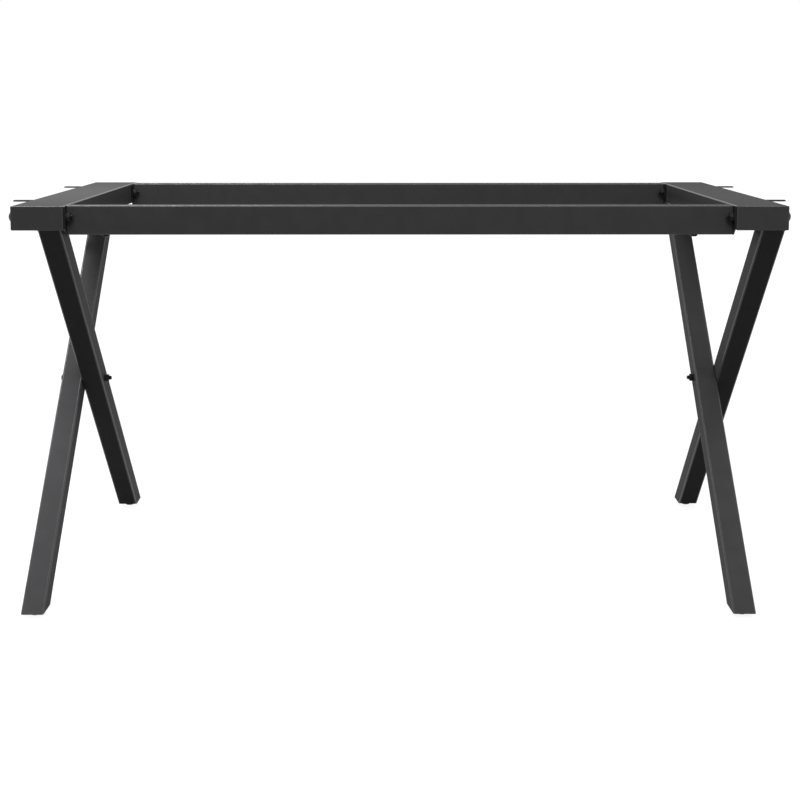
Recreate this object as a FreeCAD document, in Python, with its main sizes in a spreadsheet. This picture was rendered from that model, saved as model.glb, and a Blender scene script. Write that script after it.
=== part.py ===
import FreeCAD, Part
import os
import Sketcher
from FreeCAD import Placement, Rotation, Vector

# Table underframe: two crossed leg pairs under cross tubes, joined by two rails.
# +X runs along the rails, +Y from the front to the back, +Z up from the floor.

doc = FreeCAD.newDocument("x_leg_table_frame")
sizes = doc.addObject("Spreadsheet::Sheet", "Sizes")

# Driving dimensions in millimetres
driving = [
    ("tube_span", "1334", "outer face to outer face of the cross tubes"),
    ("top_height", "720", "floor to the top of the frame"),
    ("foot_reach", "800", "front foot to back foot, over the outside"),
    ("cross_width", "90", "cross tube, across"),
    ("cross_height", "42", "cross tube, upright"),
    ("cross_length", "755", "cross tube without its end caps"),
    ("cross_wall", "1.5", "cross tube wall"),
    ("cross_corner", "2", "cross tube outer corner radius"),
    ("least_inner_corner", "0.5", "smallest inner corner radius of a tube"),
    ("cap_thick", "2.5", "end cap plate"),
    ("cap_round", "1.5", "rounded rim of an end cap"),
    ("leg_size", "40", "leg tube, each way"),
    ("leg_wall", "1.5", "leg tube wall"),
    ("leg_corner", "3", "leg tube outer corner radius"),
    ("leg_top_setback", "1", "cross tube end to the outer edge of a leg's top"),
    ("plug_depth", "24", "foot plug, upright"),
    ("plug_clear", "0.2", "foot plug to leg tube, each side"),
    ("glide_diameter", "18", "glide pad"),
    ("glide_height", "8", "glide pad, floor to leg"),
    ("glide_round", "1.5", "rounded lower rim of a glide"),
    ("stem_diameter", "8", "glide stem"),
    ("stem_length", "18", "glide stem above the pad"),
    ("stem_clear", "0.2", "glide stem to its hole, on the diameter"),
    ("rail_height", "51", "rail tube, upright"),
    ("rail_thick", "30", "rail tube, across"),
    ("rail_wall", "1.5", "rail tube wall"),
    ("rail_corner", "3", "rail tube outer corner radius"),
    ("plate_thick", "3", "rail end plate"),
    ("plate_setback", "1.5", "cross tube end to the edge of the end plate"),
    ("ear_edge", "7.5", "bolt axis to the edge of the end plate"),
    ("ear_slope", "12", "rise of the sloped lower edge of an ear"),
    ("ear_round", "4", "rounded upper corner of an ear"),
    ("bolt_drop", "19", "top of the frame to the rail bolts"),
    ("washer_gap", "0.5", "washer to the side of the rail"),
    ("spigot_length", "90", "spigot inside a rail end"),
    ("spigot_wall", "2", "spigot tube wall"),
    ("spigot_corner", "2.5", "spigot outer corner radius"),
    ("spigot_clear", "0.3", "spigot to rail, each side"),
    ("set_screw_inset", "64", "rail end to the set screw"),
    ("tab_reach", "33", "tab, out from the cross tube"),
    ("tab_width", "18", "tab, along the cross tube"),
    ("tab_thick", "2.5", "tab plate"),
    ("tab_round", "5", "rounded outer corner of a tab"),
    ("tab_inset", "160", "cross tube end to the middle of a tab"),
    ("tab_hole", "6", "screw hole in a tab"),
    ("tab_hole_reach", "20", "cross tube to the screw hole"),
    ("bolt_diameter", "8", "all bolts and screws"),
    ("hole_clear", "1", "bolt to its hole, on the diameter"),
    ("thread_clear", "0.2", "bolt to its nut, on the diameter"),
    ("bolt_chamfer", "1", "chamfer at the end of a thread"),
    ("bolt_tail", "5", "thread past the nut"),
    ("dome_diameter", "20", "rail bolt head"),
    ("dome_height", "5", "rail bolt head"),
    ("neck_length", "4", "square neck under a rail bolt head"),
    ("neck_clear", "0.4", "square neck to its hole, on the width"),
    ("button_diameter", "14", "button head"),
    ("button_height", "4.4", "button head"),
    ("socket_flats", "5", "hexagon socket in a button head"),
    ("socket_depth", "2.6", "hexagon socket in a button head"),
    ("nut_flats", "13", "nut across its flats"),
    ("nut_height", "6.5", "nut"),
    ("nut_crown", "12.4", "flat round end of a nut, its corners sloped off"),
    ("washer_diameter", "16", "washer"),
    ("washer_thick", "1.6", "washer"),
]

# Values that follow from the driving dimensions
derived = [
    ("frame_x", "(tube_span - cross_width) / 2", "middle of a cross tube"),
    ("inner_x", "tube_span / 2 - cross_width", "inner face of a cross tube"),
    ("cross_z", "top_height - cross_height / 2", "middle of a cross tube"),
    ("leg_rise", "top_height - cross_height - glide_height", "leg, upright"),
    ("mean_reach", "(foot_reach + cross_length) / 2 - leg_top_setback", "mean of foot and top reach"),
    ("leg_tilt", "acos(leg_size / sqrt(mean_reach^2 + leg_rise^2)) - atan2(leg_rise; mean_reach)",
     "leg axis from the upright"),
    ("foot_y", "(foot_reach - leg_size / cos(leg_tilt)) / 2", "middle of a foot"),
    ("crossing_rise", "foot_y / tan(leg_tilt)", "lower end of a leg to the crossing"),
    ("crossing_z", "glide_height + crossing_rise", "floor to the crossing"),
    ("bolt_side", "washer_diameter / 2 + washer_gap", "side of the rail to a rail bolt"),
    ("ear_reach", "bolt_side + ear_edge", "side of the rail to the edge of the end plate"),
    ("rail_y", "cross_length / 2 - plate_setback - ear_reach - rail_thick / 2", "middle of a rail"),
    ("rail_z", "top_height - rail_height / 2", "middle of a rail"),
    ("rail_x", "inner_x - plate_thick", "end of a rail"),
    ("bolt_inner_y", "rail_y - rail_thick / 2 - bolt_side", "inner rail bolt"),
    ("bolt_outer_y", "rail_y + rail_thick / 2 + bolt_side", "outer rail bolt"),
    ("bolt_z", "top_height - bolt_drop", "rail bolts"),
    ("set_screw_x", "rail_x - set_screw_inset", "set screws"),
    ("tab_y", "cross_length / 2 - tab_inset", "middle of a tab"),
    ("bolt_hole", "bolt_diameter + hole_clear", "clearance hole"),
    ("spigot_width", "rail_thick - 2 * (rail_wall + spigot_clear)", "spigot, across"),
    ("spigot_height", "rail_height - 2 * (rail_wall + spigot_clear)", "spigot, upright"),
    ("weld_nut_z", "rail_z - spigot_height / 2 + spigot_wall", "inner floor of a spigot"),
    ("nut_corner", "nut_flats / sqrt(3)", "middle to corner of a nut"),
    ("socket_corner", "socket_flats / sqrt(3)", "middle to corner of a socket"),
    ("neck_hole", "bolt_diameter + neck_clear", "square hole for a neck"),
]

row = 0
for alias, value, meaning in driving:
    row += 1
    sizes.set("A%d" % row, meaning)
    sizes.set("B%d" % row, value)
    sizes.setAlias("B%d" % row, alias)
for alias, formula, meaning in derived:
    row += 1
    sizes.set("A%d" % row, meaning)
    sizes.set("B%d" % row, "=" + formula)
    sizes.setAlias("B%d" % row, alias)
    doc.recompute()

parts = []


# Sheet values, sketches and features

def number(expression):
    result = sizes.evalExpression(expression)
    return float(getattr(result, "Value", result))


def new_body(label):
    body = doc.addObject("PartDesign::Body", label)
    body.Label = label
    return body


def new_sketch(body, name, role):
    sketch = body.newObject("Sketcher::SketchObject", name)
    plane = next(item for item in body.Origin.OriginFeatures if item.Role == role)
    sketch.AttachmentSupport = [(plane, "")]
    sketch.MapMode = "FlatFace"
    return sketch


def measure(sketch, kind, references, expression):
    index = sketch.addConstraint(Sketcher.Constraint(kind, *references, number(expression)))
    sketch.setExpression("Constraints[%d]" % index, expression)


# Holds a sketch point at its place from the origin, with each distance kept positive
def pin(sketch, item, end, across, up):
    for kind, axis, expression in (("DistanceX", -2, across), ("DistanceY", -1, up)):
        value = number(expression)
        if abs(value) < 1e-9:
            sketch.addConstraint(Sketcher.Constraint("PointOnObject", item, end, axis))
        elif value > 0:
            measure(sketch, kind, (-1, 1, item, end), expression)
        else:
            measure(sketch, kind, (item, end, -1, 1), "-(%s)" % expression)


def outline(sketch, corners):
    points = [Vector(number(across), number(up), 0) for across, up in corners]
    first = sketch.GeometryCount
    for start, end in zip(points, points[1:] + points[:1]):
        sketch.addGeometry(Part.LineSegment(start, end), False)
    for step, corner in enumerate(corners):
        following = first + (step + 1) % len(corners)
        sketch.addConstraint(Sketcher.Constraint("Coincident", first + step, 2, following, 1))
        pin(sketch, first + step, 1, *corner)


def hexagon(sketch, flats, corner):
    outline(sketch, [
        (corner, "0"),
        ("%s / 2" % corner, "%s / 2" % flats),
        ("-%s / 2" % corner, "%s / 2" % flats),
        ("-%s" % corner, "0"),
        ("-%s / 2" % corner, "-%s / 2" % flats),
        ("%s / 2" % corner, "-%s / 2" % flats),
    ])


def rectangle(sketch, left, right, low, high):
    outline(sketch, [(left, low), (right, low), (right, high), (left, high)])


def circle(sketch, across, up, diameter):
    middle = Vector(number(across), number(up), 0)
    item = sketch.addGeometry(Part.Circle(middle, Vector(0, 0, 1), number(diameter) / 2), False)
    pin(sketch, item, 3, across, up)
    measure(sketch, "Diameter", (item,), diameter)


# A rectangle with rounded corners about the sketch origin, as lines and arcs in turn
def rounded_rectangle(sketch, width, height, corner):
    radius = number(corner)
    half_width = number(width) / 2
    half_height = number(height) / 2
    in_x = half_width - radius
    in_y = half_height - radius
    sides = [
        (Vector(-in_x, -half_height), Vector(in_x, -half_height), Vector(in_x, -in_y), 270),
        (Vector(half_width, -in_y), Vector(half_width, in_y), Vector(in_x, in_y), 0),
        (Vector(in_x, half_height), Vector(-in_x, half_height), Vector(-in_x, in_y), 90),
        (Vector(-half_width, in_y), Vector(-half_width, -in_y), Vector(-in_x, -in_y), 180),
    ]
    first = sketch.GeometryCount
    for start, end, middle, angle in sides:
        sketch.addGeometry(Part.LineSegment(start, end), False)
        turn = Part.Circle(middle, Vector(0, 0, 1), radius)
        begin = FreeCAD.Units.Quantity("%d deg" % angle).getValueAs("rad").Value
        quarter = FreeCAD.Units.Quantity("90 deg").getValueAs("rad").Value
        sketch.addGeometry(Part.ArcOfCircle(turn, begin, begin + quarter), False)
    for step in range(0, 8, 2):
        line = first + step
        following = first + (step + 2) % 8
        sketch.addConstraint(Sketcher.Constraint("Tangent", line, 2, line + 1, 1))
        sketch.addConstraint(Sketcher.Constraint("Tangent", line + 1, 2, following, 1))
        level = "Horizontal" if step % 4 == 0 else "Vertical"
        sketch.addConstraint(Sketcher.Constraint(level, line))
        if step:
            sketch.addConstraint(Sketcher.Constraint("Equal", first + 1, line + 1))
    measure(sketch, "Radius", (first + 1,), corner)
    measure(sketch, "DistanceX", (first + 6, 1, first + 2, 1), width)
    measure(sketch, "DistanceY", (first, 1, first + 4, 1), height)
    sketch.addConstraint(Sketcher.Constraint("Symmetric", first + 1, 3, first + 5, 3, -1, 1))


def tube_section(sketch, width, height, corner, wall):
    inner_corner = "max(%s - %s; Sizes.least_inner_corner)" % (corner, wall)
    rounded_rectangle(sketch, width, height, corner)
    rounded_rectangle(sketch, "%s - 2 * %s" % (width, wall), "%s - 2 * %s" % (height, wall), inner_corner)


def pad(body, sketch, length, side="One side", reverse=False):
    feature = body.newObject("PartDesign::Pad", sketch.Name + "_pad")
    feature.Profile = sketch
    feature.SideType = side
    feature.Reversed = reverse
    feature.setExpression("Length", length)
    doc.recompute()
    return feature


def pocket(body, sketch, side="One side", reverse=False, depth=None):
    before = body.Shape.Volume
    feature = body.newObject("PartDesign::Pocket", sketch.Name + "_cut")
    feature.Profile = sketch
    feature.SideType = side
    feature.Reversed = reverse
    if depth:
        feature.setExpression("Length", depth)
    else:
        feature.Type = "ThroughAll"
    doc.recompute()
    if body.Shape.Volume >= before:
        raise RuntimeError("%s cuts nothing" % feature.Name)
    return feature


def revolve(body, sketch, kind="PartDesign::Revolution"):
    feature = body.newObject(kind, sketch.Name + "_turn")
    feature.Profile = sketch
    feature.ReferenceAxis = (sketch, ["H_Axis"])
    feature.Angle = 360
    doc.recompute()
    return feature


def near(value, target):
    return abs(value - target) < 1e-4


# Rounds the edges of a feature whose bounding boxes are chosen
def round_edges(body, base, radius, chosen):
    edges = enumerate(base.Shape.Edges, start=1)
    names = ["Edge%d" % index for index, edge in edges if chosen(edge.BoundBox)]
    feature = body.newObject("PartDesign::Fillet", base.Name + "_round")
    feature.Base = (base, names)
    feature.setExpression("Radius", radius)
    doc.recompute()
    return feature


def place(item, turn, across, along, up):
    item.Placement = Placement(Vector(0, 0, 0), turn)
    for axis, expression in zip("xyz", (across, along, up)):
        item.setExpression("Placement.Base.%s" % axis, expression)


def keep(item):
    parts.append(item)
    return item


# Shapes made once and repeated as a group of separate solids
def group(label, prototype, places):
    copies = []
    for index, where in enumerate(places):
        copy = doc.addObject("Part::Compound", "%s_copy_%d" % (label, index + 1))
        copy.Links = [prototype]
        place(copy, *where)
        copies.append(copy)
    whole = doc.addObject("Part::Compound", label)
    whole.Label = label
    whole.Links = copies
    return keep(whole)


straight = Rotation()
half_turn = Rotation(Vector(0, 0, 1), 180)
upright = Rotation(Vector(0, 1, 0), -90)
ends = [("left", "-1", straight), ("right", "1", half_turn)]
rows = [("front", "-1"), ("back", "1")]


# Cross tubes, with square holes in the outer wall for the bolt necks and round ones in the inner

def cross_tube(side, sign, turn):
    body = keep(new_body("%s_cross_tube" % side))
    section = new_sketch(body, "%s_cross_section" % side, "XZ_Plane")
    tube_section(section, "Sizes.cross_width", "Sizes.cross_height", "Sizes.cross_corner", "Sizes.cross_wall")
    pad(body, section, "Sizes.cross_length", "Symmetric")
    round_holes = new_sketch(body, "%s_round_holes" % side, "YZ_Plane")
    neck_holes = new_sketch(body, "%s_neck_holes" % side, "YZ_Plane")
    height = "Sizes.bolt_z - Sizes.cross_z"
    half = "Sizes.neck_hole / 2"
    for middle in ("Sizes.bolt_inner_y", "Sizes.bolt_outer_y"):
        for row_sign in ("1", "-1"):
            along = "%s * %s" % (row_sign, middle)
            circle(round_holes, along, height, "Sizes.bolt_hole")
            rectangle(
                neck_holes,
                "%s - %s" % (along, half),
                "%s + %s" % (along, half),
                "%s - %s" % (height, half),
                "%s + %s" % (height, half),
            )
    pocket(body, round_holes, reverse=True)
    pocket(body, neck_holes)
    place(body, turn, "%s * Sizes.frame_x" % sign, "0", "Sizes.cross_z")


for side, sign, turn in ends:
    cross_tube(side, sign, turn)


# End caps

def end_cap(side, sign, row_name, row_sign):
    body = keep(new_body("%s_%s_end_cap" % (side, row_name)))
    section = new_sketch(body, "%s_%s_cap_section" % (side, row_name), "XZ_Plane")
    rounded_rectangle(section, "Sizes.cross_width", "Sizes.cross_height", "Sizes.cross_corner")
    plate = pad(body, section, "Sizes.cap_thick")
    outer = -number("Sizes.cap_thick")
    round_edges(body, plate, "Sizes.cap_round", lambda box: near(box.YMax, outer))
    turn = straight if row_name == "front" else half_turn
    place(body, turn, "%s * Sizes.frame_x" % sign, "%s * Sizes.cross_length / 2" % row_sign, "Sizes.cross_z")


for side, sign, turn in ends:
    for row_name, row_sign in rows:
        end_cap(side, sign, row_name, row_sign)


# Legs and foot plugs are cut from bars along the leg's axis, between two level planes.
# Their own origin is where the two legs of a pair cross, and their top leans to the front.

def level_cut(body, name, low, high):
    ends_sketch = new_sketch(body, name, "YZ_Plane")
    far = "2 * Sizes.foot_reach"
    rectangle(ends_sketch, "-" + far, far, high, "%s + %s" % (high, far))
    rectangle(ends_sketch, "-" + far, far, "%s - %s" % (low, far), low)
    return pocket(body, ends_sketch, "Symmetric")


def leaning_section(body, name):
    section = new_sketch(body, name, "XY_Plane")
    section.AttachmentOffset = Placement(Vector(0, 0, 0), Rotation(Vector(1, 0, 0), number("Sizes.leg_tilt")))
    section.setExpression("AttachmentOffset.Rotation.Angle", "Sizes.leg_tilt")
    return section


def leg(label):
    body = keep(new_body(label))
    section = leaning_section(body, label + "_section")
    tube_section(section, "Sizes.leg_size", "Sizes.leg_size", "Sizes.leg_corner", "Sizes.leg_wall")
    pad(body, section, "2 * Sizes.leg_rise / cos(Sizes.leg_tilt)", "Symmetric")
    level_cut(body, label + "_ends", "-Sizes.crossing_rise", "Sizes.leg_rise - Sizes.crossing_rise")
    hole = new_sketch(body, label + "_hole", "YZ_Plane")
    circle(hole, "0", "0", "Sizes.bolt_hole")
    pocket(body, hole, "Symmetric")
    return body


def foot_plug(label):
    body = keep(new_body(label))
    section = leaning_section(body, label + "_section")
    inside = "Sizes.leg_size - 2 * (Sizes.leg_wall + Sizes.plug_clear)"
    rounded_rectangle(section, inside, inside, "max(Sizes.leg_corner - Sizes.leg_wall; Sizes.least_inner_corner)")
    pad(body, section, "2 * Sizes.leg_rise / cos(Sizes.leg_tilt)", "Symmetric")
    level_cut(body, label + "_ends", "-Sizes.crossing_rise", "Sizes.plug_depth - Sizes.crossing_rise")
    hole = new_sketch(body, label + "_hole", "XY_Plane")
    circle(hole, "0", "Sizes.foot_y", "Sizes.stem_diameter + Sizes.stem_clear")
    pocket(body, hole, "Symmetric")
    return body


def glide(label):
    body = keep(new_body(label))
    rim = new_sketch(body, label + "_rim", "XY_Plane")
    circle(rim, "0", "0", "Sizes.glide_diameter")
    disc = pad(body, rim, "Sizes.glide_height")
    round_edges(body, disc, "Sizes.glide_round", lambda box: near(box.ZMax, 0))
    stem = new_sketch(body, label + "_stem", "XY_Plane")
    circle(stem, "0", "0", "Sizes.stem_diameter")
    stem.setExpression("AttachmentOffset.Base.z", "Sizes.glide_height")
    pad(body, stem, "Sizes.stem_length")
    return body


# A leg that leans to the front stands on its back foot, on the +X side of its pair
for side, sign, turn in ends:
    for row_name, lean, shift in (("back", straight, "+"), ("front", half_turn, "-")):
        leg_x = "%s * Sizes.frame_x %s Sizes.leg_size / 2" % (sign, shift)
        inner = (side == "left") == (row_name == "back")
        leg_label = "%s_%s_leg" % (side, "inner" if inner else "outer")
        place(leg(leg_label), lean, leg_x, "0", "Sizes.crossing_z")
        place(foot_plug("%s_%s_foot_plug" % (side, row_name)), lean, leg_x, "0", "Sizes.crossing_z")
        foot_along = "Sizes.foot_y" if row_name == "back" else "-Sizes.foot_y"
        place(glide("%s_%s_glide" % (side, row_name)), straight, leg_x, foot_along, "0")


# Rails, with a hole for a set screw in the underside near each end

def rail(row_name, row_sign):
    body = keep(new_body("%s_rail" % row_name))
    section = new_sketch(body, "%s_rail_section" % row_name, "YZ_Plane")
    tube_section(section, "Sizes.rail_thick", "Sizes.rail_height", "Sizes.rail_corner", "Sizes.rail_wall")
    pad(body, section, "2 * Sizes.rail_x", "Symmetric")
    holes = new_sketch(body, "%s_rail_holes" % row_name, "XY_Plane")
    circle(holes, "Sizes.set_screw_x", "0", "Sizes.bolt_hole")
    circle(holes, "-Sizes.set_screw_x", "0", "Sizes.bolt_hole")
    pocket(body, holes)
    place(body, straight, "0", "%s * Sizes.rail_y" % row_sign, "Sizes.rail_z")


for row_name, row_sign in rows:
    rail(row_name, row_sign)


# Rail ends: a bolted plate with two ears, and a spigot inside the rail

def end_plate(label):
    body = keep(new_body(label))
    shape = new_sketch(body, label + "_shape", "YZ_Plane")
    edge = "(Sizes.rail_thick / 2 + Sizes.ear_reach)"
    half = "Sizes.rail_thick / 2"
    high = "Sizes.rail_height / 2"
    shoulder = "Sizes.ear_slope - Sizes.rail_height / 2"
    outline(shape, [
        ("-" + half, "-" + high),
        (half, "-" + high),
        (edge, shoulder),
        (edge, high),
        ("-" + edge, high),
        ("-" + edge, shoulder),
    ])
    for sign in ("1", "-1"):
        along = "%s * (Sizes.rail_thick / 2 + Sizes.bolt_side)" % sign
        circle(shape, along, "Sizes.bolt_z - Sizes.rail_z", "Sizes.bolt_hole")
    plate = pad(body, shape, "Sizes.plate_thick")
    top = number(high)
    round_edges(body, plate, "Sizes.ear_round", lambda box: near(box.ZMin, top) and near(box.YLength, 0))
    return body


def spigot(label):
    body = keep(new_body(label))
    section = new_sketch(body, label + "_section", "YZ_Plane")
    tube_section(section, "Sizes.spigot_width", "Sizes.spigot_height", "Sizes.spigot_corner", "Sizes.spigot_wall")
    pad(body, section, "Sizes.spigot_length")
    hole = new_sketch(body, label + "_hole", "XY_Plane")
    circle(hole, "Sizes.set_screw_inset", "0", "Sizes.bolt_hole")
    pocket(body, hole)
    return body


# Tabs with a screw hole, flush with the top of the frame
def tab(label):
    body = keep(new_body(label))
    shape = new_sketch(body, label + "_shape", "XY_Plane")
    half = "Sizes.tab_width / 2"
    rectangle(shape, "-Sizes.tab_reach", "0", "-" + half, half)
    circle(shape, "-Sizes.tab_hole_reach", "0", "Sizes.tab_hole")
    plate = pad(body, shape, "Sizes.tab_thick", reverse=True)
    far = -number("Sizes.tab_reach")
    round_edges(body, plate, "Sizes.tab_round", lambda box: near(box.XMax, far) and near(box.YLength, 0))
    return body


for side, sign, turn in ends:
    for row_name, row_sign in rows:
        name = "%s_%s" % (side, row_name)
        rail_along = "%s * Sizes.rail_y" % row_sign
        place(end_plate(name + "_end_plate"), turn, "%s * Sizes.inner_x" % sign, rail_along, "Sizes.rail_z")
        place(spigot(name + "_spigot"), turn, "%s * Sizes.rail_x" % sign, rail_along, "Sizes.rail_z")
        tab_x = "%s * Sizes.tube_span / 2" % sign
        place(tab(name + "_top_tab"), turn, tab_x, "%s * Sizes.tab_y" % row_sign, "Sizes.top_height")


# Fasteners lie along +X, with the seat of the head, washer or nut at the origin

def bolt(label, head_diameter, head_height, length):
    body = new_body(label)
    half = new_sketch(body, label + "_half", "XY_Plane")
    rim = Vector(0, number(head_diameter) / 2, 0)
    crown = Vector(-number(head_height), 0, 0)
    radius = (rim.y ** 2 + crown.x ** 2) / (-2 * crown.x)
    dome = Part.Circle(Vector(crown.x + radius, 0, 0), Vector(0, 0, 1), radius)
    shank = "Sizes.bolt_diameter / 2"
    corners = [
        ("-" + head_height, "0"),
        (length, "0"),
        (length, "%s - Sizes.bolt_chamfer" % shank),
        ("%s - Sizes.bolt_chamfer" % length, shank),
        ("0", shank),
        ("0", "%s / 2" % head_diameter),
    ]
    points = [Vector(number(across), number(up), 0) for across, up in corners]
    for start, end in zip(points, points[1:]):
        half.addGeometry(Part.LineSegment(start, end), False)
    arc = half.addGeometry(Part.ArcOfCircle(dome, dome.parameter(rim), dome.parameter(crown)), False)
    for step, corner in enumerate(corners[:-1]):
        pin(half, step, 1, *corner)
        half.addConstraint(Sketcher.Constraint("Coincident", step, 2, step + 1, 1))
    pin(half, arc, 1, *corners[-1])
    half.addConstraint(Sketcher.Constraint("Coincident", arc, 2, 0, 1))
    half.addConstraint(Sketcher.Constraint("PointOnObject", arc, 3, -1))
    revolve(body, half)
    return body


def square_neck(body):
    neck = new_sketch(body, body.Name + "_neck", "YZ_Plane")
    half = "Sizes.bolt_diameter / 2"
    rectangle(neck, "-" + half, half, "-" + half, half)
    pad(body, neck, "Sizes.neck_length")


def hexagon_socket(body):
    socket = new_sketch(body, body.Name + "_socket", "YZ_Plane")
    hexagon(socket, "Sizes.socket_flats", "Sizes.socket_corner")
    socket.setExpression("AttachmentOffset.Base.z", "-Sizes.button_height")
    pocket(body, socket, reverse=True, depth="Sizes.socket_depth")


def nut(label):
    body = new_body(label)
    shape = new_sketch(body, label + "_shape", "YZ_Plane")
    hexagon(shape, "Sizes.nut_flats", "Sizes.nut_corner")
    circle(shape, "0", "0", "Sizes.bolt_diameter + Sizes.thread_clear")
    pad(body, shape, "Sizes.nut_height")
    slope = new_sketch(body, label + "_slope", "XY_Plane")
    inner = "Sizes.nut_crown / 2"
    depth = "(Sizes.nut_corner - %s) / 2" % inner
    outline(slope, [
        ("Sizes.nut_height", inner),
        ("Sizes.nut_height", "Sizes.nut_corner"),
        ("Sizes.nut_height - %s" % depth, "Sizes.nut_corner"),
    ])
    revolve(body, slope, "PartDesign::Groove")
    return body


def washer(label):
    body = new_body(label)
    shape = new_sketch(body, label + "_shape", "YZ_Plane")
    circle(shape, "0", "0", "Sizes.washer_diameter")
    circle(shape, "0", "0", "Sizes.bolt_hole")
    pad(body, shape, "Sizes.washer_thick")
    return body


clamped = "Sizes.washer_thick + Sizes.nut_height + Sizes.bolt_tail"
rail_bolt = bolt("rail_bolt", "Sizes.dome_diameter", "Sizes.dome_height",
                 "(Sizes.cross_width + Sizes.plate_thick + %s)" % clamped)
square_neck(rail_bolt)
crossing_bolt = bolt("crossing_bolt", "Sizes.button_diameter", "Sizes.button_height",
                     "(2 * Sizes.leg_size + Sizes.washer_thick + %s)" % clamped)
hexagon_socket(crossing_bolt)
set_screw = bolt("set_screw", "Sizes.button_diameter", "Sizes.button_height",
                 "(Sizes.rail_wall + Sizes.spigot_clear + Sizes.spigot_wall + Sizes.nut_height)")
hexagon_socket(set_screw)
hex_nut = nut("hex_nut")
flat_washer = washer("flat_washer")


# Places of a fastener on the rail bolt axes, a distance inwards from the outer face of the tube
def rail_bolt_places(depth):
    return [
        (turn, "%s * (Sizes.tube_span / 2 - (%s))" % (sign, depth),
         "%s * %s" % (row_sign, middle), "Sizes.bolt_z")
        for side, sign, turn in ends
        for row_name, row_sign in rows
        for middle in ("Sizes.bolt_outer_y", "Sizes.bolt_inner_y")
    ]


# Places on the crossing axes, a distance inwards from the outer face of the outer leg
def crossing_places(depth):
    return [
        (turn, "%s * (Sizes.frame_x + Sizes.leg_size - (%s))" % (sign, depth), "0", "Sizes.crossing_z")
        for side, sign, turn in ends
    ]


def set_screw_places(height):
    return [
        (upright, "%s * Sizes.set_screw_x" % sign, "%s * Sizes.rail_y" % row_sign, height)
        for side, sign, turn in ends
        for row_name, row_sign in rows
    ]


plate_face = "Sizes.cross_width + Sizes.plate_thick"
group("rail_bolts", rail_bolt, rail_bolt_places("0"))
group("rail_washers", flat_washer, rail_bolt_places(plate_face))
group("rail_nuts", hex_nut, rail_bolt_places(plate_face + " + Sizes.washer_thick"))
group("rail_set_screws", set_screw, set_screw_places("Sizes.top_height - Sizes.rail_height"))
group("spigot_weld_nuts", hex_nut, set_screw_places("Sizes.weld_nut_z"))
group("crossing_bolts", crossing_bolt, crossing_places("-Sizes.washer_thick"))
group("crossing_washers", flat_washer,
      crossing_places("-Sizes.washer_thick") + crossing_places("2 * Sizes.leg_size"))
group("crossing_nuts", hex_nut, crossing_places("2 * Sizes.leg_size + Sizes.washer_thick"))

doc.recompute()

for item in doc.Objects:
    if "Invalid" in item.State or "Error" in item.State:
        raise RuntimeError("%s failed: %s" % (item.Name, item.State))
for item in parts:
    if item.Shape.isNull() or not item.Shape.isValid():
        raise RuntimeError("%s has no valid shape" % item.Label)

os.makedirs("parts", exist_ok=True)
for item in parts:
    item.Shape.exportStep("parts/%s.step" % item.Label)
    print(item.Label, len(item.Shape.Solids), round(item.Shape.Volume, 1))
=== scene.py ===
import math

import bmesh
import bpy
from mathutils import Matrix, Vector


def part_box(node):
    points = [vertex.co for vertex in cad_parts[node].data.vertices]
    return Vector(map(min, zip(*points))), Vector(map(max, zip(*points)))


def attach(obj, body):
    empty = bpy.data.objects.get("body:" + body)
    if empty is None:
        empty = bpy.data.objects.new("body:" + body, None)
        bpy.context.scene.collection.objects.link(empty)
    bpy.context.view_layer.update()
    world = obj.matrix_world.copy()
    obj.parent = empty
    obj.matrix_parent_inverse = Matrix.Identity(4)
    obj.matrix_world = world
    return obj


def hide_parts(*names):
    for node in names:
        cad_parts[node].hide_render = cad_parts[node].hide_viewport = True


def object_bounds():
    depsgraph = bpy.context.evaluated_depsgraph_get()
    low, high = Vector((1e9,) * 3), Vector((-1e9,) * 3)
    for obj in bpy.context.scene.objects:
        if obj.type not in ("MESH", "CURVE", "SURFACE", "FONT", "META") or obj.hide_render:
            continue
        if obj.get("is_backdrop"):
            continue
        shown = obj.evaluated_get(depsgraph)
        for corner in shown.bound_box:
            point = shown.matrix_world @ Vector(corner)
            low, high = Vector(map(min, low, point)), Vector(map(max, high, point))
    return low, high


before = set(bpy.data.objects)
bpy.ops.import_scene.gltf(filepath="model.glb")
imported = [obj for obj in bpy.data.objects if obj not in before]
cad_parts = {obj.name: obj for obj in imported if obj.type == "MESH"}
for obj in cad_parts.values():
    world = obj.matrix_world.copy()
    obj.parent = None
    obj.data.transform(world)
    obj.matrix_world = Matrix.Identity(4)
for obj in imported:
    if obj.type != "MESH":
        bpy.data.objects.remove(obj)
cadLow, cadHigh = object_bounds()
print("frame loaded:", len(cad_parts), "nodes")

mm = 0.001
tiny = 1e-6
xAxis, yAxis, zAxis = 0, 1, 2
sides = {"left": -1, "right": 1}  # along X
rows = {"front": -1, "back": 1}  # along Y

shaping = {
    "aligned": 0.99,  # least share of a length or a normal that counts as along an axis
    "cornerSlot": 1,  # material slot of rounded edges
    "mergeGap": 0.002 * mm,
    "overCut": 1 * mm,  # how far a cutter reaches past what it cuts
    "sharpAngle": math.radians(40),  # edges sharper than this are softened
    "smoothAngle": math.radians(35),  # faces that meet flatter than this are shaded as one
    "softSegments": 2,
}


# Selecting and shaping, one piece at a time

def deselect():
    if bpy.context.mode != "OBJECT":
        bpy.ops.object.mode_set(mode="OBJECT")
    bpy.ops.object.select_all(action="DESELECT")


def activate(piece):
    deselect()
    piece.select_set(True)
    bpy.context.view_layer.objects.active = piece


def applyPlace():
    bpy.ops.object.transform_apply(location=True, rotation=True, scale=True)


def nodeBox(name):
    low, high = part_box(name)
    return Vector(low), Vector(high)


def nodeMiddle(name):
    low, high = nodeBox(name)
    return (low + high) / 2


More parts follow.
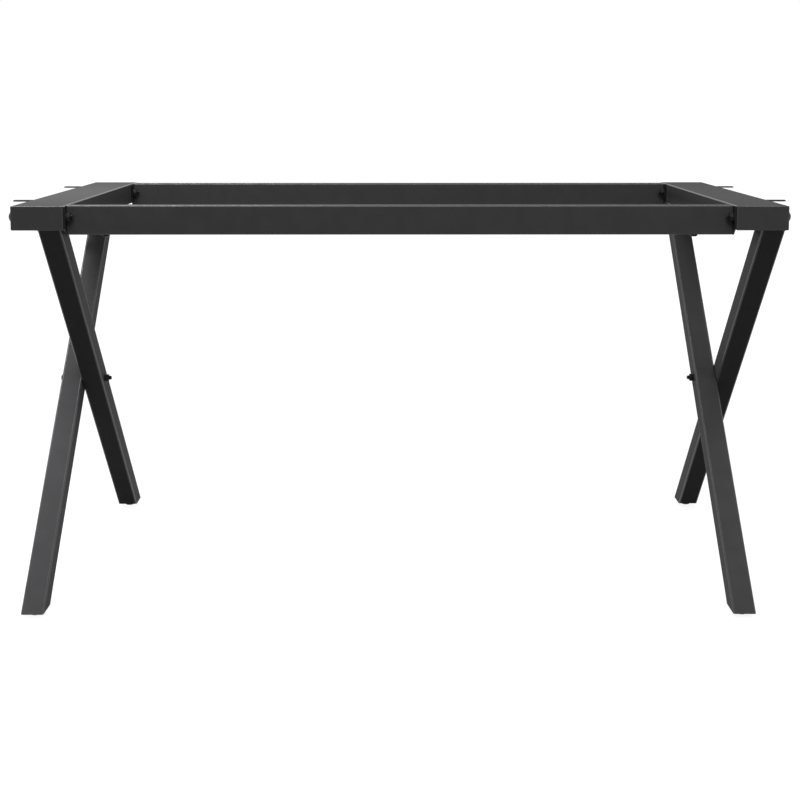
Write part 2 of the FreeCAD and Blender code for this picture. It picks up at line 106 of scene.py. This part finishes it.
def addBlock(name, low, high):
    deselect()
    bpy.ops.mesh.primitive_cube_add(size=1, location=(low + high) / 2, scale=high - low)
    applyPlace()
    piece = bpy.context.object
    piece.name = name
    piece.data.materials.append(None)  # for the flat faces
    piece.data.materials.append(None)  # for the rounded corners
    return piece


# A cylinder along X from its start, with six sides for a hexagon
def addRod(name, start, length, radius, corners):
    deselect()
    bpy.ops.mesh.primitive_cylinder_add(
        vertices=corners, radius=radius, depth=length,
        location=start + Vector((length / 2, 0, 0)), rotation=(0, math.pi / 2, 0))
    applyPlace()
    bpy.context.object.name = name
    return bpy.context.object


# Tests of an edge by its two ends
def runsAlong(axis):
    return lambda start, end: abs((end - start)[axis]) > shaping["aligned"] * (end - start).length


def liesAt(axis, place):
    return lambda start, end: max(abs(start[axis] - place), abs(end[axis] - place)) < tiny


def both(first, second):
    return lambda start, end: first(start, end) and second(start, end)


def openMesh(piece, kind):
    activate(piece)
    bpy.ops.object.mode_set(mode="EDIT")
    bpy.ops.mesh.select_mode(type=kind)
    bpy.ops.mesh.select_all(action="DESELECT")
    return bmesh.from_edit_mesh(piece.data)


def pickEdges(piece, wanted):
    mesh = openMesh(piece, "EDGE")
    for edge in mesh.edges:
        edge.select_set(wanted(edge.verts[0].co, edge.verts[1].co))
    bmesh.update_edit_mesh(piece.data)


def pickFaces(piece, wanted):
    mesh = openMesh(piece, "FACE")
    for face in mesh.faces:
        face.select_set(wanted(face.normal))
    bmesh.update_edit_mesh(piece.data)


def roundEdges(piece, wanted, radius, segments):
    pickEdges(piece, wanted)
    bpy.ops.mesh.bevel(offset=radius, segments=segments, affect="EDGES", material=shaping["cornerSlot"])
    bpy.ops.object.mode_set(mode="OBJECT")


# Cuts with a plane and throws away what lies on the side that its normal points to
def cutAway(piece, place, normal, fill):
    activate(piece)
    bpy.ops.object.mode_set(mode="EDIT")
    bpy.ops.mesh.select_all(action="SELECT")
    bpy.ops.mesh.bisect(plane_co=place, plane_no=normal, use_fill=fill, clear_outer=True)
    bpy.ops.object.mode_set(mode="OBJECT")


def applyModifier(piece, kind, settings):
    activate(piece)
    modifier = piece.modifiers.new(kind.lower(), kind)
    for name, value in settings.items():
        setattr(modifier, name, value)
    bpy.ops.object.modifier_apply(modifier=modifier.name)


def combine(piece, other, operation):
    applyModifier(piece, "BOOLEAN", {"object": other, "operation": operation, "solver": "EXACT"})
    bpy.data.objects.remove(other)


def softenEdges(piece, radius):
    applyModifier(piece, "BEVEL", {
        "width": radius, "segments": shaping["softSegments"],
        "limit_method": "ANGLE", "angle_limit": shaping["sharpAngle"]})


# A profile of (along X, radius) points, turned round the X axis
def turnProfile(name, profile, steps):
    deselect()
    bpy.ops.mesh.primitive_plane_add(size=mm)
    piece = bpy.context.object
    piece.name = name
    bpy.ops.object.mode_set(mode="EDIT")
    bpy.ops.mesh.select_mode(type="VERT")
    bpy.ops.mesh.select_all(action="SELECT")
    bpy.ops.mesh.merge(type="CENTER")
    corners = [Vector((across, 0, radius)) for across, radius in profile]
    bpy.ops.transform.translate(value=corners[0])
    for start, end in zip(corners, corners[1:]):
        bpy.ops.mesh.extrude_region_move(TRANSFORM_OT_translate={"value": end - start})
    bpy.ops.mesh.select_all(action="SELECT")
    bpy.ops.mesh.spin(steps=steps, angle=2 * math.pi, center=(0, 0, 0), axis=(1, 0, 0))
    bpy.ops.mesh.select_all(action="SELECT")
    bpy.ops.mesh.remove_doubles(threshold=shaping["mergeGap"])
    bpy.ops.mesh.normals_make_consistent(inside=False)
    bpy.ops.object.mode_set(mode="OBJECT")
    return piece


def placeCopy(model, name, place, turn):
    copy = model.copy()
    copy.data = model.data.copy()
    copy.name = name
    bpy.context.collection.objects.link(copy)
    copy.matrix_world = Matrix.Translation(place) @ turn
    activate(copy)
    applyPlace()
    return copy


def discard(*models):
    for model in models:
        bpy.data.objects.remove(model)


def finishPiece(piece, finish, *nodes):
    activate(piece)
    bpy.ops.object.shade_smooth_by_angle(angle=shaping["smoothAngle"])
    applyModifier(piece, "WEIGHTED_NORMAL", {"keep_sharp": True})
    materials = finishes[finish]
    lastSlot = len(materials) - 1
    marks = [min(face.material_index, lastSlot) for face in piece.data.polygons]
    piece.data.materials.clear()
    for material in materials:
        piece.data.materials.append(material)
    piece.data.polygons.foreach_set("material_index", marks)
    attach(piece, "root")
    if nodes:
        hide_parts(*nodes)


halfTurn = Matrix.Rotation(math.pi, 4, "Z")
headDown = Matrix.Rotation(-math.pi / 2, 4, "Y")
sideTurns = {"left": Matrix.Identity(4), "right": halfTurn}


# Shader values as Python expressions

class Shade:
    def __init__(self, tree, socket=None):
        self.tree = tree
        self.socket = socket

    def node(self, kind, settings=None, inputs=None, output=0):
        made = self.tree.nodes.new(kind)
        for name, value in (settings or {}).items():
            setattr(made, name, value)
        for name, value in (inputs or {}).items():
            if isinstance(value, Shade):
                self.tree.links.new(value.socket, made.inputs[name])
            else:
                made.inputs[name].default_value = value
        return Shade(self.tree, made.outputs[output]) if made.outputs else made

    def math(self, operation, first, second):
        return self.node("ShaderNodeMath", {"operation": operation}, {0: first, 1: second})

    def __add__(self, other):
        return self.math("ADD", self, other)

    def __radd__(self, other):
        return self.math("ADD", other, self)

    def __sub__(self, other):
        return self.math("SUBTRACT", self, other)

    def __rsub__(self, other):
        return self.math("SUBTRACT", other, self)

    def __mul__(self, other):
        return self.math("MULTIPLY", self, other)

    def __rmul__(self, other):
        return self.math("MULTIPLY", other, self)

    # Sockets 6 and 7 are the two colours of the mix, and output 2 is the mixed one
    def blend(self, low, high):
        return self.node("ShaderNodeMix", {"data_type": "RGBA"}, {0: self, 6: low, 7: high}, 2)

    def noise(self, scale, detail):
        place = self.node("ShaderNodeTexCoord", output="Object")
        return self.node("ShaderNodeTexNoise", {}, {"Vector": place, "Scale": scale, "Detail": detail})

    # Noise lies about 0.5, and this moves it to lie about another value
    def around(self, middle, spread):
        return (self - 0.5) * spread + middle

    def bump(self, height):
        return self.node("ShaderNodeBump", {}, {"Height": self, "Distance": height, "Strength": 1.0})


def grey(level):
    return (level, level, level, 1)


def newTree(name):
    material = bpy.data.materials.new(name)
    material.use_nodes = True
    material.node_tree.nodes.clear()
    return material, Shade(material.node_tree)


def closeTree(tree, shader):
    tree.node("ShaderNodeOutputMaterial", {}, {"Surface": shader})


# Finishes

powderLook = {
    "dark": (0.026, 0.026, 0.027, 1),
    "light": (0.034, 0.034, 0.035, 1),
    "mottleScale": 35,
    "mottleDetail": 4,
    "roughness": 0.45,
    "roughnessSpread": 0.08,
    "specular": 0.004,
    "peelScale": 900,
    "peelDetail": 2,
    "peelHeight": 0.004 * mm,
}

# The same coat on rounded corners, with more gloss for a light line along the edges
cornerLook = dict(
    powderLook, specular=0.15, roughness=0.3, roughnessSpread=0.02, peelHeight=0.002 * mm)


def powderCoat(name, look):
    material, tree = newTree(name)
    mottle = tree.noise(look["mottleScale"], look["mottleDetail"])
    peel = tree.noise(look["peelScale"], look["peelDetail"])
    closeTree(tree, tree.node("ShaderNodeBsdfPrincipled", {}, {
        "Base Color": mottle.blend(look["dark"], look["light"]),
        "Roughness": mottle.around(look["roughness"], look["roughnessSpread"]),
        "Specular IOR Level": look["specular"],
        "Normal": peel.bump(look["peelHeight"]),
    }))
    return material


# On the bolts, washers and nuts this near-black is their own colour; on the end plates it is painted shade
# for the gap between tube and rail
steelLook = {
    "dark": grey(0.004),
    "light": grey(0.01),
    "mottleScale": 400,
    "mottleDetail": 3,
    "specular": 0.09,
    "roughness": 0.27,
    "roughnessSpread": 0.12,
}


def blackSteelAndPaintedShade(look):
    material, tree = newTree("blackSteelAndPaintedShade")
    mottle = tree.noise(look["mottleScale"], look["mottleDetail"])
    closeTree(tree, tree.node("ShaderNodeBsdfPrincipled", {}, {
        "Base Color": mottle.blend(look["dark"], look["light"]),
        "Roughness": mottle.around(look["roughness"], look["roughnessSpread"]),
        "Specular IOR Level": look["specular"],
    }))
    return material


plasticLook = {
    "dark": grey(0.018),
    "light": grey(0.026),
    "grainScale": 1500,
    "grainDetail": 2,
    "grainHeight": 0.01 * mm,
    "roughness": 0.55,
    "specular": 0.3,
}


def blackPlastic(look):
    material, tree = newTree("blackPlastic")
    grain = tree.noise(look["grainScale"], look["grainDetail"])
    closeTree(tree, tree.node("ShaderNodeBsdfPrincipled", {}, {
        "Base Color": grain.blend(look["dark"], look["light"]),
        "Roughness": look["roughness"],
        "Specular IOR Level": look["specular"],
        "Normal": grain.bump(look["grainHeight"]),
    }))
    return material


# For the faces, and for the rounded corners where these differ
finishes = {
    "powder_coat": [powderCoat("powderCoat", powderLook), powderCoat("powderCorner", cornerLook)],
    "black_steel": [blackSteelAndPaintedShade(steelLook)],
    "black_plastic": [blackPlastic(plasticLook)],
}
print("finishes made:", ", ".join(finishes))


# Square tubes: a block, its long edges rounded, its ends opened, its wall made

def openTube(name, low, high, axis, tube):
    piece = addBlock(name, low, high)
    roundEdges(piece, runsAlong(axis), tube["corner"], tube["segments"])
    pickFaces(piece, lambda normal: abs(normal[axis]) > shaping["aligned"])
    bpy.ops.mesh.delete(type="FACE")
    bpy.ops.object.mode_set(mode="OBJECT")
    applyModifier(piece, "SOLIDIFY", {"thickness": tube["wall"], "offset": -1})
    return piece


crossTube = {"corner": 2 * mm, "wall": 1.5 * mm, "segments": 6}
for side in sides:
    node = side + "_cross_tube"
    finishPiece(openTube(side + "CrossTube", *nodeBox(node), yAxis, crossTube), "powder_coat", node)

railTube = {"corner": 3 * mm, "wall": 1.5 * mm, "segments": 6}
for row in rows:
    node = row + "_rail"
    finishPiece(openTube(row + "Rail", *nodeBox(node), xAxis, railTube), "powder_coat", node)
print("cross tubes and rails made")


# End caps: a plate with the tube's corners and a rounded outer rim

endCap = {"corner": 2 * mm, "rim": 1.8 * mm, "segments": 6}
for side in sides:
    for row in rows:
        node = "%s_%s_end_cap" % (side, row)
        low, high = nodeBox(node)
        cap = addBlock("%s%sEndCap" % (side, row.title()), low, high)
        outer = low.y if row == "front" else high.y
        roundEdges(cap, runsAlong(yAxis), endCap["corner"], endCap["segments"])
        roundEdges(cap, liesAt(yAxis, outer), endCap["rim"], endCap["segments"])
        finishPiece(cap, "powder_coat", node)
print("end caps made")


# Legs: one leaning tube, cut level at both ends, copied and turned for the four

legTube = {"corner": 3 * mm, "wall": 1.5 * mm, "segments": 6}


# Angle from the upright of a square bar that fills its box when it is cut level
def leanOf(low, high):
    size = high - low
    return math.acos(size.x / math.hypot(size.y, size.z)) - math.atan2(size.z, size.y)


def leanBack(piece, angle, middle):
    piece.matrix_world = Matrix.Translation(middle) @ Matrix.Rotation(angle, 4, "X")
    activate(piece)
    applyPlace()


legLow, legHigh = nodeBox("left_inner_leg")
legLean = leanOf(legLow, legHigh)
legMiddle = Vector((0, (legLow.y + legHigh.y) / 2, (legLow.z + legHigh.z) / 2))
legWidth = legHigh.x - legLow.x
barHalf = Vector((legWidth / 2, legWidth / 2, (legHigh - legLow).length))

legModel = openTube("legModel", -barHalf, barHalf, zAxis, legTube)
leanBack(legModel, legLean, legMiddle)
cutAway(legModel, (0, 0, legHigh.z), (0, 0, 1), False)
cutAway(legModel, (0, 0, legLow.z), (0, 0, -1), False)
for level in (legLow.z, legHigh.z):
    pickEdges(legModel, liesAt(zAxis, level))
    bpy.ops.mesh.bridge_edge_loops()
    bpy.ops.object.mode_set(mode="OBJECT")

# The weld under the cross tube: the leg's outline at its top, made a round bead
legWeld = {"radius": 1.1 * mm, "cuts": 24, "rings": 3, "rippleSize": 3 * mm, "ripple": 0.4 * mm}


def weldBead(name, weld):
    activate(bpy.data.objects[name])
    bpy.ops.object.convert(target="CURVE")
    run = bpy.context.object.data
    run.bevel_depth = weld["radius"]
    run.bevel_resolution = weld["rings"]
    bpy.ops.object.convert(target="MESH")
    bead = bpy.context.object
    ripple = bpy.data.textures.new("weldRipple", "CLOUDS")
    ripple.noise_scale = weld["rippleSize"]
    applyModifier(bead, "DISPLACE", {"texture": ripple, "strength": weld["ripple"], "mid_level": 0.5})
    return bead


weldModel = addBlock("weldModel", -barHalf, barHalf)
roundEdges(weldModel, runsAlong(zAxis), legTube["corner"], legTube["segments"])
leanBack(weldModel, legLean, legMiddle)
activate(weldModel)
bpy.ops.object.mode_set(mode="EDIT")
bpy.ops.mesh.select_all(action="SELECT")
bpy.ops.mesh.bisect(plane_co=(0, 0, legHigh.z), plane_no=(0, 0, 1), clear_inner=True, clear_outer=True)
pickEdges(weldModel, lambda start, end: (end - start).length > legWidth / 2)  # the four straight sides
bpy.ops.mesh.subdivide(number_cuts=legWeld["cuts"])
bpy.ops.object.mode_set(mode="OBJECT")
weldModel = weldBead("weldModel", legWeld)

for side in sides:
    for place in ("inner", "outer"):
        node = "%s_%s_leg" % (side, place)
        leansFront = (side == "left") == (place == "inner")
        turn = Matrix.Identity(4) if leansFront else halfTurn
        across = Vector((nodeMiddle(node).x, 0, 0))
        label = side + place.title()
        finishPiece(placeCopy(legModel, label + "Leg", across, turn), "powder_coat", node)
        finishPiece(placeCopy(weldModel, label + "LegWeld", across, turn), "powder_coat")
discard(legModel, weldModel)
print("legs and their welds made")


# End plates: a plate with its lower corners cut off aslant and its upper ones rounded, given the
# near-black steel finish, darker than the rail's coat, as painted shade for the gap between the tube and
# the rail

endPlate = {"slope": 12 * mm, "corner": 4 * mm, "segments": 6, "edge": 0.4 * mm}
for side in sides:
    for row in rows:
        node = "%s_%s_end_plate" % (side, row)
        low, high = nodeBox(node)
        railLow, railHigh = nodeBox(row + "_rail")
        plate = addBlock("%s%sEndPlate" % (side, row.title()), low, high)
        upperCorners = both(runsAlong(xAxis), liesAt(zAxis, high.z))
        roundEdges(plate, upperCorners, endPlate["corner"], endPlate["segments"])
        for foot, edge in ((railLow.y, low.y), (railHigh.y, high.y)):
            ear = edge - foot
            outward = Vector((0, math.copysign(endPlate["slope"], ear), -abs(ear)))
            cutAway(plate, (low.x, foot, low.z), outward, True)
        softenEdges(plate, endPlate["edge"])
        # The black steel here is painted shade: the plate is darkened to stand for the shadow in the gap
        # between the tube and the rail
        finishPiece(plate, "black_steel", node)
print("end plates made")


# Tabs: a plate with rounded outer corners, a screw hole and a weld below its root

topTab = {
    "corner": 5 * mm, "segments": 6, "edge": 0.3 * mm,
    "hole": 3 * mm, "holeReach": 20 * mm, "holeSteps": 32,
}
tabWeld = {
    "inset": 1 * mm, "radius": 0.8 * mm, "cuts": 12, "rings": 3,
    "rippleSize": 3 * mm, "ripple": 0.3 * mm,
}
for side, sign in sides.items():
    for row in rows:
        node = "%s_%s_top_tab" % (side, row)
        low, high = nodeBox(node)
        root, end = (high.x, low.x) if sign < 0 else (low.x, high.x)
        label = "%s%sTopTab" % (side, row.title())
        tab = addBlock(label, low, high)
        outerCorners = both(runsAlong(zAxis), liesAt(xAxis, end))
        roundEdges(tab, outerCorners, topTab["corner"], topTab["segments"])
        middle = nodeMiddle(node)
        deselect()
        bpy.ops.mesh.primitive_cylinder_add(
            vertices=topTab["holeSteps"], radius=topTab["hole"], depth=4 * (high.z - low.z),
            location=(root + sign * topTab["holeReach"], middle.y, middle.z))
        combine(tab, bpy.context.object, "DIFFERENCE")
        softenEdges(tab, topTab["edge"])
        finishPiece(tab, "powder_coat", node)
        # A straight run of weld, as the one edge of a block that lies along the foot of the root
        inset = tabWeld["inset"]
        weldLow = Vector((root - inset, low.y + inset, low.z))
        weldHigh = Vector((root, high.y - inset, high.z))
        weld = addBlock(label + "Weld", weldLow, weldHigh)
        rootFoot = both(liesAt(xAxis, root), liesAt(zAxis, low.z))
        pickEdges(weld, lambda start, stop: not rootFoot(start, stop))
        bpy.ops.mesh.delete(type="EDGE")
        bpy.ops.mesh.select_all(action="SELECT")
        bpy.ops.mesh.subdivide(number_cuts=tabWeld["cuts"])
        bpy.ops.object.mode_set(mode="OBJECT")
        finishPiece(weldBead(weld.name, tabWeld), "powder_coat")
print("tabs made")


# Bolts, screws, washers and nuts, modelled along X with their seat at the origin

boltSize = {
    "radius": 4 * mm, "chamfer": 1 * mm, "steps": 40,
    "pitch": 1.25 * mm, "threadDepth": 0.55 * mm,
    "ridgeStart": 0.4, "ridgeEnd": 0.6,  # of the pitch
    "tail": 5 * mm,  # past the nut
}
domeHead = {"radius": 10 * mm, "height": 5 * mm, "steps": 12}
buttonHead = {
    "radius": 7 * mm, "height": 4.4 * mm, "flat": 4 * mm, "steps": 10,
    "socketFlats": 5 * mm, "socketDepth": 2.6 * mm,
}
nutSize = {"flats": 13 * mm, "height": 6.5 * mm, "crown": 6.2 * mm, "edge": 0.2 * mm, "steps": 48}
washerSize = {"radius": 8 * mm, "hole": 4.5 * mm, "thick": 1.6 * mm, "edge": 0.3 * mm, "steps": 48}


def evenAngles(widest, steps):
    return [widest * step / steps for step in range(steps + 1)]


# Points of a dome from its crown to its rim
def domeProfile(head):
    bend = (head["radius"] ** 2 + head["height"] ** 2) / (2 * head["height"])
    middle = bend - head["height"]
    angles = evenAngles(math.asin(head["radius"] / bend), head["steps"])
    return [(middle - bend * math.cos(angle), bend * math.sin(angle)) for angle in angles]


# Points of a button head: a flat end, then a round shoulder down to the rim
def buttonProfile(head):
    height, flat = head["height"], head["flat"]
    shoulder = head["radius"] - flat
    angles = evenAngles(math.pi / 2, head["steps"])
    return [(-height, 0)] + [
        (-height * math.cos(angle), flat + shoulder * math.sin(angle)) for angle in angles]


# Ridges of a thread from one place to another
def threadProfile(start, end, size):
    pitch, radius = size["pitch"], size["radius"]
    root = radius - size["threadDepth"]
    turns = int((end - start) / pitch)
    points = []
    for turn in range(turns):
        ridge = start + turn * pitch
        points += [
            (ridge, root), (ridge + size["ridgeStart"] * pitch, radius),
            (ridge + size["ridgeEnd"] * pitch, radius)]
    return points + [(start + turns * pitch, root)]


def boltModel(name, head, length, threadStart, size):
    tip = length - size["chamfer"]
    profile = head + [(0, size["radius"]), (threadStart, size["radius"])]
    profile += threadProfile(threadStart, tip, size)
    profile += [(length, size["radius"] - size["chamfer"]), (length, 0)]
    return turnProfile(name, profile, size["steps"])


def hexRod(name, start, length, flats):
    return addRod(name, Vector((start, 0, 0)), length, flats / math.sqrt(3), 6)


def cutSocket(bolt, head):
    length = head["height"] + head["socketDepth"]
    combine(bolt, hexRod("socket", -2 * head["height"], length, head["socketFlats"]), "DIFFERENCE")


def nutModel(size, bolt):
    height, crown = size["height"], size["crown"]
    corner = size["flats"] / math.sqrt(3)
    slope = (corner - crown) / 2
    nut = hexRod("nutModel", 0, height, size["flats"])
    blank = turnProfile("blank", [
        (0, 0), (0, crown), (slope, corner), (height - slope, corner), (height, crown), (height, 0)],
        size["steps"])
    combine(nut, blank, "INTERSECT")
    over = shaping["overCut"]
    bore = addRod("bore", Vector((-over, 0, 0)), height + 2 * over, bolt["radius"], bolt["steps"])
    combine(nut, bore, "DIFFERENCE")
    softenEdges(nut, size["edge"])
    return nut


def washerModel(size):
    edge = size["edge"]
    outer, inner, thick = size["radius"], size["hole"], size["thick"]
    return turnProfile("washerModel", [
        (0, inner), (0, outer - edge), (edge, outer), (thick - edge, outer),
        (thick, outer - edge), (thick, inner), (0, inner)], size["steps"])


nut = nutModel(nutSize, boltSize)
washer = washerModel(washerSize)

# Rail bolts: the head on the outside of the cross tube, the nut on the end plate
tubeOuter = nodeBox("right_cross_tube")[1].x
nutSeat = nodeBox("rail_nuts")[1].x
boltHeight = nodeMiddle("rail_bolts").z
outerBolt = nodeBox("rail_washers")[1].y - washerSize["radius"]
railMiddle = nodeMiddle("back_rail").y
boltRows = {"Outer": outerBolt, "Inner": 2 * railMiddle - outerBolt}
railReach = tubeOuter - nutSeat
railLength = railReach + nutSize["height"] + boltSize["tail"]
railBolt = boltModel("railBoltModel", domeProfile(domeHead), railLength, railReach, boltSize)
railSeats = [
    (railBolt, "RailBolt", tubeOuter, "rail_bolts"),
    (washer, "RailWasher", nutSeat + washerSize["thick"], "rail_washers"),
    (nut, "RailNut", nutSeat, "rail_nuts"),
]
for side, sign in sides.items():
    for row, rowSign in rows.items():
        for place, distance in boltRows.items():
            label = side + row.title() + place
            for model, kind, across, node in railSeats:
                seat = Vector((sign * across, rowSign * distance, boltHeight))
                finishPiece(placeCopy(model, label + kind, seat, sideTurns[side]), "black_steel", node)
discard(railBolt)
print("rail bolts made")

# Crossing bolts: one through each pair of legs, with a washer on both sides
crossHead = nodeBox("crossing_bolts")[1].x - buttonHead["height"]
crossNutSeat = nodeBox("right_inner_leg")[0].x - washerSize["thick"]
crossHeight = nodeMiddle("crossing_bolts").z
crossReach = crossHead - crossNutSeat
crossLength = crossReach + nutSize["height"] + boltSize["tail"]
crossBolt = boltModel("crossBoltModel", buttonProfile(buttonHead), crossLength, crossReach, boltSize)
cutSocket(crossBolt, buttonHead)
crossSeats = [
    (crossBolt, "CrossingBolt", crossHead, "crossing_bolts"),
    (washer, "CrossingHeadWasher", crossHead, "crossing_washers"),
    (washer, "CrossingNutWasher", crossNutSeat + washerSize["thick"], "crossing_washers"),
    (nut, "CrossingNut", crossNutSeat, "crossing_nuts"),
]
for side, sign in sides.items():
    for model, kind, across, node in crossSeats:
        seat = Vector((sign * across, 0, crossHeight))
        finishPiece(placeCopy(model, side + kind, seat, sideTurns[side]), "black_steel", node)
discard(crossBolt)

# Set screws: up through the underside of each rail near its ends
screwLow, screwHigh = nodeBox("rail_set_screws")
screwLength = screwHigh.z - screwLow.z - buttonHead["height"]
setScrew = boltModel("setScrewModel", buttonProfile(buttonHead), screwLength, boltSize["pitch"], boltSize)
cutSocket(setScrew, buttonHead)
for side, sign in sides.items():
    for row in rows:
        across = sign * (screwHigh.x - buttonHead["radius"])
        seat = Vector((across, nodeMiddle(row + "_rail").y, screwLow.z + buttonHead["height"]))
        screw = placeCopy(setScrew, "%s%sSetScrew" % (side, row.title()), seat, headDown)
        finishPiece(screw, "black_steel", "rail_set_screws")
discard(setScrew, nut, washer)
print("crossing bolts and set screws made")


# Glides: a turned pad with a rounded sole, a groove round its side and a stem

glidePad = {
    "sole": 1.5 * mm, "soleSteps": 6, "grooveWidth": 1 * mm, "grooveDepth": 0.5 * mm,
    "stem": 4 * mm, "steps": 48,
}
glideLow, glideHigh = nodeBox("left_front_glide")
padRadius = (glideHigh.x - glideLow.x) / 2
padHeight = legLow.z
sole = glidePad["sole"]
stem = glidePad["stem"]
grooveFoot = padHeight - 2 * glidePad["grooveWidth"]
grooveTop = grooveFoot + glidePad["grooveWidth"]
grooveRadius = padRadius - glidePad["grooveDepth"]
soleAngles = evenAngles(math.pi / 2, glidePad["soleSteps"])
glideProfile = [(0, 0)]
glideProfile += [
    (sole - sole * math.cos(angle), padRadius - sole + sole * math.sin(angle)) for angle in soleAngles]
glideProfile += [
    (grooveFoot, padRadius), (grooveFoot, grooveRadius), (grooveTop, grooveRadius), (grooveTop, padRadius),
    (padHeight, padRadius), (padHeight, stem), (glideHigh.z, stem), (glideHigh.z, 0)]
glideModel = turnProfile("glideModel", glideProfile, glidePad["steps"])
for side in sides:
    for row in rows:
        node = "%s_%s_glide" % (side, row)
        foot = nodeMiddle(node)
        foot.z = 0
        glide = placeCopy(glideModel, "%s%sGlide" % (side, row.title()), foot, headDown)
        finishPiece(glide, "black_plastic", node)
discard(glideModel)
print("glides made")


# What keeps its solid, inside the legs and rails
keptSolids = {"foot_plug": "black_plastic", "spigot": "powder_coat", "spigot_weld_nuts": "black_steel"}
for name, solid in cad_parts.items():
    for ending, finish in keptSolids.items():
        if name.endswith(ending):
            solid.data.materials.clear()
            solid.data.materials.append(finishes[finish][0])


# Floor, light and camera

seenRays = ("Is Camera Ray", "Is Glossy Ray", "Is Transmission Ray")


# 1 for rays that show the background, 0 for those that light the object
def backgroundRays(tree):
    camera, glossy, through = [tree.node("ShaderNodeLightPath", output=name) for name in seenRays]
    return tree.math("MAXIMUM", camera, tree.math("MAXIMUM", glossy, through))


floorLook = {"size": 60, "level": 0.12, "near": 1.2, "far": 4.0, "nearGlow": 0.88, "farGlow": 1.0}


def floorMaterial(look):
    material, tree = newTree("floor")
    matte = tree.node("ShaderNodeBsdfDiffuse", {}, {"Color": grey(look["level"])})
    place = tree.node("ShaderNodeTexCoord", output="Object")
    away = tree.node("ShaderNodeVectorMath", {"operation": "LENGTH"}, {0: place}, "Value")
    # Whiter where the lamps no longer reach
    white = tree.node("ShaderNodeMapRange", {}, {
        "Value": away, "From Min": look["near"], "From Max": look["far"],
        "To Min": look["nearGlow"], "To Max": look["farGlow"]})
    shown = backgroundRays(tree) * white
    glow = tree.node("ShaderNodeEmission", {}, {"Color": shown.blend(grey(0), grey(1))})
    closeTree(tree, tree.node("ShaderNodeAddShader", {}, {0: matte, 1: glow}))
    return material


deselect()
bpy.ops.mesh.primitive_plane_add(size=floorLook["size"], location=(0, 0, cadLow.z))
floor = bpy.context.object
floor.name = "floor"
floor.data.materials.append(floorMaterial(floorLook))
floor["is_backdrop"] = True

# A plain white sky
sky = bpy.data.worlds.new("sky")
sky.use_nodes = True
sky.node_tree.nodes.clear()
skyTree = Shade(sky.node_tree)
skyShader = skyTree.node("ShaderNodeBackground", {}, {"Color": grey(1), "Strength": 1.0})
skyTree.node("ShaderNodeOutputWorld", {}, {"Surface": skyShader})
bpy.context.scene.world = sky

# The lamps out of the gloss leave no glare on faces seen edge on
lamps = {
    "front": {
        "place": (0, -2.9, 3.6), "aim": (0, 0, 0.4), "size": (1.8, 1.8),
        "power": 125, "spread": 180, "inGloss": True},
    "topLeft": {
        "place": (-1.05, 0, 3.2), "aim": (-0.64, 0, 0.7), "size": (0.5, 1.2),
        "power": 11, "spread": 36, "inGloss": True},
    "topRight": {
        "place": (1.05, 0, 3.2), "aim": (0.64, 0, 0.7), "size": (0.5, 1.2),
        "power": 2.5, "spread": 36, "inGloss": True},
    "leftFill": {
        "place": (-4.2, 0.1, 0.7), "aim": (0, 0.1, 0.7), "size": (1.0, 0.16),
        "power": 190, "spread": 180, "inGloss": False},
    "rightFill": {
        "place": (4.2, 0.1, 0.7), "aim": (0, 0.1, 0.7), "size": (1.0, 0.16),
        "power": 70, "spread": 180, "inGloss": False},
    "rightSide": {
        "place": (3.8, -1.4, 0.72), "aim": (0.5, 0.1, 0.6), "size": (0.8, 0.16),
        "power": 25, "spread": 180, "inGloss": False},
}
for name, lamp in lamps.items():
    deselect()
    bpy.ops.object.light_add(type="AREA", location=lamp["place"])
    light = bpy.context.object
    light.name = name
    light.data.shape = "RECTANGLE"
    light.data.size, light.data.size_y = lamp["size"]
    light.data.energy = lamp["power"]
    light.data.spread = math.radians(lamp["spread"])
    light.visible_glossy = lamp["inGloss"]
    beam = Vector(lamp["aim"]) - Vector(lamp["place"])
    light.rotation_euler = beam.to_track_quat("-Z", "Y").to_euler()

view = {
    "place": (-0.0097, -3.0201, 0.9036),
    "pitch": -0.10165,  # radians, down
    "yaw": -0.00359,
    "focal": 1546.8,  # pixels
    "imageWidth": 800,  # pixels
    "shift": -0.18,
}
deselect()
bpy.ops.object.camera_add(location=view["place"], rotation=(math.pi / 2 + view["pitch"], 0, view["yaw"]))
camera = bpy.context.object
camera.data.lens = view["focal"] / view["imageWidth"] * camera.data.sensor_width
camera.data.shift_y = view["shift"]
bpy.context.scene.camera = camera
bpy.context.scene.view_settings.view_transform = "Standard"
print("floor, light and camera made")

low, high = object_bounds()
